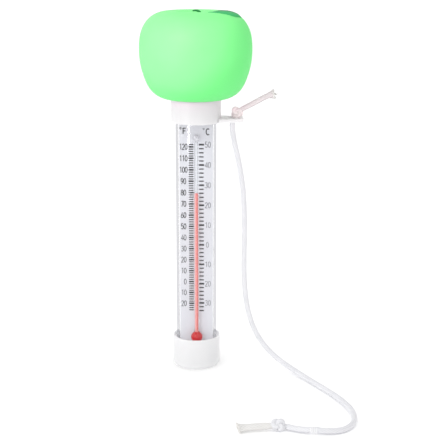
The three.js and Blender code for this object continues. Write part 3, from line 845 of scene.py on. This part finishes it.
def make_collar():
    profile = fillet([
        (0, COLLAR_WEB, 0), (TUBE_R + 0.06, COLLAR_WEB, 0), (TUBE_R + 0.06, COLLAR_Z0, 0.25), (COLLAR_R, COLLAR_Z0, 0.45),
        (COLLAR_R, COLLAR_Z1 + 0.62, 0.3), (8.0, COLLAR_Z1 + 0.62, 0.1), (8.0, 154.3, 0), (9.1, 154.5, 0.1), (9.1, 155.1, 0.1), (7.8, 157.0, 0.1),
        (6.2, 157.0, 0.1), (6.2, COLLAR_WEB + 1.6, 0), (0, COLLAR_WEB + 1.6, 0),
    ], 6)
    v, f = lathe(densify(profile), 160)
    body = mesh_object("collar_moulding", v, f, WHITE)
    # lug outline, turning outwards as it meets the collar
    c = LUG_CORNER
    out = [(9.5, -LUG_HALF - 1.6)]
    wall = math.sqrt(COLLAR_R**2 - LUG_HALF**2)
    for k in range(7):  # small fillet in plan where the lug leaves the collar
        t = math.pi / 2 * (1 - k / 6)
        out.append((wall + 1.5 - 1.5 * math.sin(t), -LUG_HALF - 1.5 + 1.5 * (1 - math.cos(t))))
    for k in range(9):
        t = -math.pi / 2 + math.pi / 2 * k / 8
        out.append((LUG_REACH - c + c * math.cos(t), -LUG_HALF + c + c * math.sin(t)))
    out += [(x, -y) for x, y in reversed(out)]
    lug = prism("lug", out, LUG_Z0, LUG_Z0 + LUG_T, 0.42, WHITE)
    bore = mesh_object("bore", *lathe([(0, LUG_Z0 - 3), (TUBE_R + 0.06, LUG_Z0 - 3), (TUBE_R + 0.06, COLLAR_WEB), (0, COLLAR_WEB)], 160), WHITE)
    lug = boolean(lug, bore, "DIFFERENCE")
    # hole with eased edges
    hole = []
    r, z0, z1, e = LUG_HOLE_R, LUG_Z0, LUG_Z0 + LUG_T, 0.35
    hole.append((0, z0 - 1))
    hole.append((r + e + 1, z0 - 1))
    hole.append((r + e, z0))
    for k in range(1, 6):
        t = math.pi / 2 * k / 5
        hole.append((r + e - e * math.sin(t), z0 + e - e * math.cos(t)))
    for k in range(5):
        t = math.pi / 2 * (1 - k / 5)
        hole.append((r + e - e * math.sin(t), z1 - e + e * math.cos(t)))
    hole += [(r + e, z1), (r + e + 1, z1 + 1), (0, z1 + 1)]
    lug = boolean(lug, mesh_object("hole", *lathe(hole, 48, (LUG_HOLE_X, 0)), WHITE), "DIFFERENCE")
    body = boolean(body, lug, "UNION")
    finish_mesh(body.data, sharp=32)
    return place(body, ["collar"])


def make_tube():
    profile = fillet([
        (TUBE_BORE, TUBE_Z0, 0.2), (TUBE_R, TUBE_Z0, 0.2), (TUBE_R, TUBE_Z1, 0.2), (TUBE_BORE, TUBE_Z1, 0.2),
    ], 3, closed=True)
    v, f = lathe(densify(profile, closed=True), 192, closed=True)
    inside = [int(all(math.hypot(v[i][0], v[i][1]) < TUBE_R - 0.01 for i in face)) for face in f]
    tube = mesh_object("tube_clear", v, f, None, sharp=50, materials=[TUBE, TUBE_IN], face_mats=inside)
    return place(tube, ["clear_tube"])


make_cap()
make_collar()
make_tube()

# ------------------------------------------------------------------ scale: printed lines and figures
ZERO_C, PER_C = 69.68, 1.1284
ZERO_F, PER_F = 48.338, 0.63796
PRINT_Y0, PRINT_Y1 = -0.045, 0.02


def arc_points(cx, cz, rx, rz, a0, a1, n=14):
    return [(cx + rx * math.cos(math.radians(a0 + (a1 - a0) * k / n)), cz + rz * math.sin(math.radians(a0 + (a1 - a0) * k / n))) for k in range(n + 1)]


# each figure in a box 0.56 wide and 1 high, as strokes; True marks a closed stroke
FIGURES = {
    "0": [(arc_points(0.28, 0.5, 0.24, 0.47, 0, 360, 28)[:-1], True)],
    "1": [([(0.10, 0.80), (0.32, 0.97), (0.32, 0.03)], False)],
    "2": [(arc_points(0.27, 0.72, 0.22, 0.25, 170, -20, 14) + [(0.04, 0.03), (0.53, 0.03)], False)],
    "3": [(arc_points(0.26, 0.745, 0.2, 0.225, 150, -80, 12) + arc_points(0.25, 0.275, 0.25, 0.245, 80, -150, 14), False)],
    "4": [([(0.42, 0.03), (0.42, 0.97), (0.03, 0.30), (0.56, 0.30)], False)],
    "5": [([(0.49, 0.97), (0.12, 0.97), (0.09, 0.55)] + arc_points(0.26, 0.32, 0.25, 0.29, 125, -150, 16), False)],
    "6": [(arc_points(0.28, 0.3, 0.24, 0.27, 150, 510, 24)[:-1], True), ([(0.075, 0.44), (0.18, 0.70), (0.40, 0.97)], False)],
    "7": [([(0.04, 0.97), (0.52, 0.97), (0.20, 0.03)], False)],
    "8": [(arc_points(0.28, 0.27, 0.25, 0.24, 0, 360, 24)[:-1], True), (arc_points(0.28, 0.745, 0.2, 0.225, 0, 360, 22)[:-1], True)],
    "9": [(arc_points(0.28, 0.7, 0.24, 0.27, 0, 360, 24)[:-1], True), ([(0.485, 0.56), (0.38, 0.30), (0.16, 0.03)], False)],
    "F": [([(0.08, 0.03), (0.08, 0.97), (0.52, 0.97)], False), ([(0.08, 0.52), (0.45, 0.52)], False)],
    "C": [(arc_points(0.31, 0.5, 0.26, 0.47, 48, 312, 22), False)],
    "deg": [(arc_points(0.2, 0.84, 0.13, 0.13, 0, 360, 16)[:-1], True)],
}


class Print:
    """Flat strokes on the plate, each a thin closed solid."""

    def __init__(self):
        self.v, self.f, self.m = [], [], []

    def stroke(self, pts, width, closed, mat):
        p = np.asarray(pts, float)
        n = len(p)
        if closed:
            d0, d1 = p - np.roll(p, 1, 0), np.roll(p, -1, 0) - p
        else:
            d = np.diff(p, axis=0)
            d0, d1 = np.vstack([d[:1], d]), np.vstack([d, d[-1:]])
        n0 = np.stack([-d0[:, 1], d0[:, 0]], 1) / np.linalg.norm(d0, axis=1)[:, None]
        n1 = np.stack([-d1[:, 1], d1[:, 0]], 1) / np.linalg.norm(d1, axis=1)[:, None]
        m = n0 + n1
        m /= np.linalg.norm(m, axis=1)[:, None]
        k = np.clip(1 / np.maximum(0.35, (m * n0).sum(1)), 1, 2.2)
        off = m * (k * width / 2)[:, None]
        left, right = p + off, p - off
        base = len(self.v)
        for i in range(n):
            for (x, z), y in ((left[i], PRINT_Y0), (right[i], PRINT_Y0), (right[i], PRINT_Y1), (left[i], PRINT_Y1)):
                self.v.append((x, y, z))
        last = n if closed else n - 1
        for i in range(last):
            a, b = base + 4 * i, base + 4 * ((i + 1) % n)
            for q in range(4):
                r = (q + 1) % 4
                self.f.append((a + q, a + r, b + r, b + q))
                self.m.append(mat)
        if not closed:
            e = base + 4 * (n - 1)
            self.f += [(base, base + 3, base + 2, base + 1), (e, e + 1, e + 2, e + 3)]
            self.m += [mat, mat]

    def figure(self, ch, x, z, height, stretch, width, mat):
        for pts, closed in FIGURES[ch]:
            self.stroke([(x + px * height * stretch, z + pz * height) for px, pz in pts], width, closed, mat)

    def tick(self, x0, x1, z, width, mat):
        self.stroke([(x0, z), (x1, z)], width, False, mat)


def make_print():
    pr = Print()
    # degrees F, on the left
    for n in range(-26, 123, 2):
        bold = n % 10 == 0
        z = ZERO_F + PER_F * n
        pr.tick(-4.15 if bold else -4.05, -1.4 if bold else -1.5, z, 0.94 if bold else 0.58, 0)
    for n in range(-20, 121, 10):
        s = str(abs(n))
        z = ZERO_F + PER_F * n - 1.6
        pitch = 1.5
        x = -5.52 - pitch * len(s) + (0.82 if len(s) == 3 else 0.0)
        for i, ch in enumerate(s):
            pr.figure(ch, x + pitch * i + 0.05, z, 3.2, 0.76, 0.42 if n > 45 else 0.34, 0)
    # degrees C, on the right
    for n in range(-34, 51, 2):
        bold = n % 10 == 0
        z = ZERO_C + PER_C * n
        pr.tick(1.55 if bold else 1.62, 4.35 if bold else 4.1, z, 0.98 if bold else 0.67, 0)
    for n in range(-30, 51, 10):
        s = str(abs(n))
        z = ZERO_C + PER_C * n - 1.6
        pitch = 1.66
        x = 4.85 if len(s) == 2 else 5.4
        for i, ch in enumerate(s):
            pr.figure(ch, x + pitch * i, z, 3.2, 0.82, 0.31 if n > 15 else 0.25, 1)
    # unit marks
    pr.figure("deg", -9.1, 132.2, 3.4, 0.9, 0.36, 0)
    pr.figure("F", -7.3, 131.9, 3.3, 1.0, 0.56, 0)
    pr.figure("deg", 3.55, 132.0, 3.2, 0.9, 0.26, 1)
    pr.figure("C", 5.35, 131.4, 3.5, 1.05, 0.6, 0)
    ob = mesh_object("scale_print", pr.v, pr.f, None, materials=[INK_F, INK_C], face_mats=pr.m, sharp=30)
    return place(ob)


make_print()

# ------------------------------------------------------------------ glass stem and spirit
GX, GY = 0.15, -2.0
GLASS_R, BULB_R, BULB_Z, GLASS_TOP = 1.4, 3.2, 16.4, 129.6
BORE = 0.77  # drawn bore; the glass makes it look wider still
LEVEL_Z = ZERO_C + PER_C * 26.5
CAVITY = 2.95


def arc2(cz, r, a0, a1, n):
    return [(r * math.cos(math.radians(a0 + (a1 - a0) * k / n)), cz + r * math.sin(math.radians(a0 + (a1 - a0) * k / n))) for k in range(n + 1)]


def make_glass():
    neck = math.degrees(math.acos((GLASS_R + 0.14) / BULB_R))
    outer = [(0, BULB_Z - BULB_R)] + arc2(BULB_Z, BULB_R, -84, neck, 28)
    # the neck draws in smoothly from the bulb to the stem
    x0, z0 = outer[-1]
    z1 = z0 + 0.35
    for k in range(1, 9):
        t = k / 8
        h = t * t * (3 - 2 * t)
        outer.append((x0 + (GLASS_R - x0) * (1 - (1 - t) ** 2.2), z0 + (z1 - z0) * t))
    outer.append((GLASS_R, GLASS_TOP - 1.0))
    for k in range(1, 9):
        t = math.radians(90 * k / 8)
        outer.append((max(GLASS_R * math.cos(t), 0.0) if k < 8 else 0.0, GLASS_TOP - 1.0 + math.sin(t)))
    top = GLASS_TOP - 2.2
    cav = math.degrees(math.acos(BORE / CAVITY))
    inner = [(0, top + BORE)] + [(BORE * math.sin(math.radians(90 * k / 5)), top + BORE * math.cos(math.radians(90 * k / 5))) for k in range(1, 6)]
    inner += arc2(BULB_Z, CAVITY, cav, -84, 24) + [(0, BULB_Z - CAVITY)]
    v1, f1 = lathe(densify(outer, near=0.15), 64, (GX, GY))
    v2, f2 = lathe(densify(inner, near=0.15), 48, (GX, GY))
    n = len(v1)
    ob = mesh_object("stem_glass_body", v1, f1, GLASS)
    cavity = mesh_object("stem_bore", v2, f2, GLASS)
    # the cavity's faces look into it, so that the glass lies between the two skins
    for p in cavity.data.polygons:
        p.flip()
    bm = bmesh.new()
    bm.from_mesh(ob.data)
    bm.from_mesh(cavity.data)
    bm.to_mesh(ob.data)
    bm.free()
    bpy.data.objects.remove(cavity)
    return place(ob, ["glass_stem"])


def make_spirit():
    r = BORE + 0.03
    fill = CAVITY + 0.02
    neck = math.degrees(math.acos(r / fill))
    profile = [(0, BULB_Z - fill)] + arc2(BULB_Z, fill, -84, neck, 26) + [(r, 19.5), (0, 19.5)]
    v, f = lathe(profile, 48, (GX, GY))
    place(mesh_object("spirit_in_bulb", v, f, RED, sharp=60), ["spirit_bulb"])
    # the thread stretches between the bulb and its top
    z0, z1 = 17.7, LEVEL_Z - 0.65
    rows = 140
    profile = [(0, z0)] + [(r - 0.005, z0 + (z1 - z0) * k / rows) for k in range(rows + 1)] + [(0, z1)]
    v, f = lathe(profile, 24, (GX, GY))
    thread = mesh_object("spirit_thread", v, f, THREAD, sharp=60)
    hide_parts("spirit_column")
    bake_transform(thread)
    profile = [(0, z1 - 0.05), (r - 0.002, z1 - 0.05), (r - 0.002, LEVEL_Z - 0.25)] + [((r - 0.002) * math.cos(math.radians(15 * k)), LEVEL_Z - 0.25 + 0.25 * math.sin(math.radians(15 * k))) for k in range(1, 6)] + [(0, LEVEL_Z)]
    v, f = lathe(profile, 24, (GX, GY))
    place(mesh_object("spirit_dome", v, f, THREAD, sharp=60), ["spirit_meniscus"], body=TOP_BODY)


make_glass()
make_spirit()


def wobble(p, seed, scale):
    """A smooth repeatable unevenness from a few sines."""
    a = np.sin(p @ np.array([1.7, 2.3, 1.1]) * scale + seed)
    b = np.sin(p @ np.array([-2.1, 1.3, 1.9]) * scale * 1.3 + seed * 2.1)
    c = np.sin(p @ np.array([0.9, -1.6, 2.7]) * scale * 1.7 + seed * 3.7)
    return (a + b + c) / 3


def make_dab():
    """Milky silicone that holds the stem's tip to the plate."""
    n, m = 32, 48
    profile = arc2(0, 1.0, -90, 90, n)
    profile[0], profile[-1] = (0, -1.0), (0, 1.0)
    v, f = lathe(profile, m)
    v = np.array(v)
    w = 1 + 0.1 * wobble(v * 2.2, 1.4, 1.0)
    v = v * w[:, None] * np.array([1.5, 1.2, 1.9]) + np.array([GX, -1.6, 129.8])
    v[:, 1] = np.minimum(v[:, 1], -0.02)
    return place(mesh_object("dab_silicone", v, f, DAB), ["stem_dab"])


make_dab()


def make_plate():
    """The scale's plate, with a slot at its foot that the bulb sits in."""
    half, z0, z1, thick, slot, corner = 9.3, 11.95, 139.5, 0.8, 2.72, 1.0
    edge = [(-half, z0), (GX - slot, z0), (GX - slot, BULB_Z)]
    edge += [(GX - slot * math.cos(math.radians(a)), BULB_Z + slot * math.sin(math.radians(a))) for a in range(6, 180, 6)]
    edge += [(GX + slot, BULB_Z), (GX + slot, z0), (half, z0), (half, z1 - corner), (half - corner, z1), (corner - half, z1), (-half, z1 - corner)]
    n = len(edge)
    verts = [(x, y, z) for y in (0.0, thick) for x, z in edge]
    faces = [tuple(range(n)), tuple(range(2 * n - 1, n - 1, -1))] + [(k, (k + 1) % n, n + (k + 1) % n, n + k) for k in range(n)]
    return place(mesh_object("plate_sheet", verts, faces, PLATE, sharp=30), ["scale_plate"])


make_plate()

# ------------------------------------------------------------------ knots, tails and whipping on the cord
upper = overhand(
    STOPPER_C - np.array([0, 0, 0.4]), [(20.0, 0, 139.2), (20.0, 0, 140.6)], [(24.6, -0.7, 145.6), (26.6, -0.8, 146.6)],
    ring_axis=(0.25, -1.0, 0.15), ring_zero=(-0.6, 0, -1), big=1.35, small=0.95, cord_r=1.22, name="knot_upper", squash=(0.98, 1.06, 0.87), material=CORD_KNOT_LIT,
)
lower = overhand(
    END_C, [(47.07, -92.4, 1.84), (45.9, -92.3, 1.9)], [(39.6, -93.1, 2.3), (38.4, -93.0, 2.2)],
    ring_axis=(0.15, -1.0, 0.35), ring_zero=(0, 0, -1), big=1.4, small=0.95, cord_r=1.25, name="knot_lower", squash=(1.0, 1.15, 1.0),
)


def tail(name, points, r0, r1, flare, seed, prongs, oval_to, slant, fibres, material):
    """A loose end: braided, then flared where it was cut and melted. slant pulls the top of the cut forwards; fibres are stray yarn ends."""
    path, along = spline(points, 0.22)
    sides = 48

    def radius(x):
        grow = max(0.0, (x - 0.82) / 0.18)
        return r0 + (r1 - r0) * min(1, x / 0.3) + flare * grow**1.5

    def oval(x):
        return 1 + (oval_to - 1) * min(1.0, x / 0.5)

    v, f, d, (t, n, bb) = cord_mesh(path, along, radius, sides, oval=oval)
    f = f[:-1]
    rows = len(path)
    share = along / along[-1]
    v = np.array(v)
    for i in range(rows):
        g = max(0.0, (share[i] - 0.72) / 0.28) ** 1.5
        if g > 0:
            q = slice(i * sides, (i + 1) * sides)
            v[q] = v[q] + t[i] * ((v[q] - path[i])[:, 2:3] * slant * g)
    v, d = list(v), list(d)
    last = rows - 1
    theta = np.linspace(0, 2 * math.pi, sides, endpoint=False)
    ring = [last * sides + k for k in range(sides)]
    lipr = radius(1.0)
    for depth_, part in ((0.2, 1.1), (0.5, 1.17), (0.8, 1.15), (1.0, 1.02), (0.92, 0.85), (0.5, 0.68), (-0.1, 0.46), (-0.5, 0.22)):
        new = []
        for k, th in enumerate(theta):
            edge = 1 + prongs * math.cos(3 * th + seed) * min(0.7, max(0.0, depth_ + 0.1)) + 0.07 * math.sin(5 * th + seed * 2) + 0.03 * math.sin(11 * th + seed)
            o = oval(1.0)
            rr = lipr * part * edge
            flat = n[last] * rr * math.cos(th) * o + bb[last] * rr * math.sin(th) / o
            dz = depth_ * (1 + 1.2 * prongs * math.cos(3 * th + seed)) + 0.1 * math.sin(7 * th + seed) * part + flat[2] * slant
            new.append(len(v))
            v.append(path[last] + flat + t[last] * dz)
            # painted shade: deep inside the cup of the cut end, light on its lip
            d.append(0.95 if part < 0.7 else 0.35)
        for k in range(sides):
            j = (k + 1) % sides
            f.append((ring[k], ring[j], new[j], new[k]))
        ring = new
    for p in v:
        p[2] = max(p[2], 0.03)
    centre = len(v)
    v.append(path[last] - t[last] * 0.65)
    # the centre of the cut end takes the deepest painted shade
    d.append(1.0)
    for k in range(sides):
        f.append((ring[k], ring[(k + 1) % sides], centre))
    mats = [1 if i >= (rows - 1) * sides + 1 else 0 for i in range(len(f))]
    for angle, out_, length, thick, lean in fibres:
        u = n[last] * math.cos(angle) + bb[last] * math.sin(angle)
        a = path[last] + u * (lipr * out_) - t[last] * 0.4
        b = a + t[last] * length + u * lean
        strand, s_at = spline([a, (a + b) / 2 + u * 0.15, b], 0.15)
        st, sn, sb = frames(strand)
        m = 10
        ph = np.linspace(0, 2 * math.pi, m, endpoint=False)
        rad = thick * (1 - 0.45 * s_at / s_at[-1])
        p = strand[:, None, :] + sn[:, None, :] * (rad[:, None] * np.cos(ph))[..., None] + sb[:, None, :] * (rad[:, None] * np.sin(ph))[..., None]
        base = len(v)
        v += list(p.reshape(-1, 3))
        # the stray fibres take a deep painted shade as well
        d += [0.9] * (len(strand) * m)
        extra = [tuple(base + q for q in face) for face in grid_faces(len(strand), m)]
        f += extra
        mats += [1] * len(extra)
    return mesh_object(name, v, f, None, materials=[material, CORD_END], face_mats=mats, recalc=False, attribute=("painted_yarn_shade", d))


tail_up = tail(
    "tail_upper", [(24.6, -0.7, 145.6), (30.2, -1.0, 148.5), (35.4, -1.4, 151.4), (39.0, -1.7, 153.2), (41.3, -1.8, 153.9)],
    1.34, 1.44, 0.85, 0.7, 0.18, 1.0, 0.1,
    [(0.6, 0.3, 3.0, 0.42, 0.1), (1.9, 0.8, 1.6, 0.4, 0.5), (4.4, 0.75, 1.4, 0.36, 0.3), (3.2, 0.3, 2.2, 0.34, -0.2)], CORD_TAIL_SHADED,
)
tail_down = tail(
    "tail_lower", [(40.0, -93.1, 2.75), (36.0, -93.4, 2.65), (31.5, -94.0, 2.55), (27.4, -94.7, 2.5), (24.9, -95.2, 2.5), (23.5, -95.5, 2.5)],
    1.5, 1.85, 0.6, 2.1, 0.07, 1.04, 0.26, [], CORD_WARM,
)


def make_whipping():
    """Four tight turns of thread round the cord."""
    c = np.array([60.09, -97.11, 2.33])
    path, _ = spline(CORD_ROUTE, 0.1)
    i0 = int(np.argmin(np.linalg.norm(path - c, axis=1)))
    axis = path[i0 + 12] - path[i0 - 12]
    axis /= np.linalg.norm(axis)
    up = np.array([0, 0, 1.0]) - axis * axis[2]
    up /= np.linalg.norm(up)
    side = np.cross(axis, up)
    turns, pitch, rt = 4, 0.88, 0.36
    n = 4 * 48
    pts = []
    for k in range(n + 1):
        s = k / n
        a = 2 * math.pi * turns * s
        r = 1.5
        pts.append(c + axis * ((s - 0.5) * turns * pitch) + up * r * math.cos(a) + side * r * math.sin(a))
    pts = np.array(pts)
    t, nn, bb = frames(pts, first=up)
    sides = 12
    theta = np.linspace(0, 2 * math.pi, sides, endpoint=False)
    rad = np.full(len(pts), rt)
    rad[:6] *= np.linspace(0.3, 1, 6)
    rad[-6:] *= np.linspace(1, 0.3, 6)
    p = pts[:, None, :] + nn[:, None, :] * (rad[:, None] * np.cos(theta))[..., None] + bb[:, None, :] * (rad[:, None] * np.sin(theta))[..., None]
    return mesh_object("whipping_thread", p.reshape(-1, 3), grid_faces(len(pts), sides), CORD, recalc=False, attribute=("painted_yarn_shade", np.zeros(len(pts) * sides)))


whip = make_whipping()
place(cord, ["cord_line"])
place(upper, ["stopper_knot"])
place(lower, ["end_knot"])
place(tail_up, ["top_tail"])
place(tail_down, ["end_tail"])
place(whip, ["cord_whipping"])

# ------------------------------------------------------------------ CAD nodes that stay
paint("ballast_weight", STEEL)
paint("bottom_gasket", RUBBER)
paint("top_gasket", RUBBER)
paint("bottom_plug", WHITE)
paint("bulb_pad", FOAM)
paint("top_pad", FOAM)
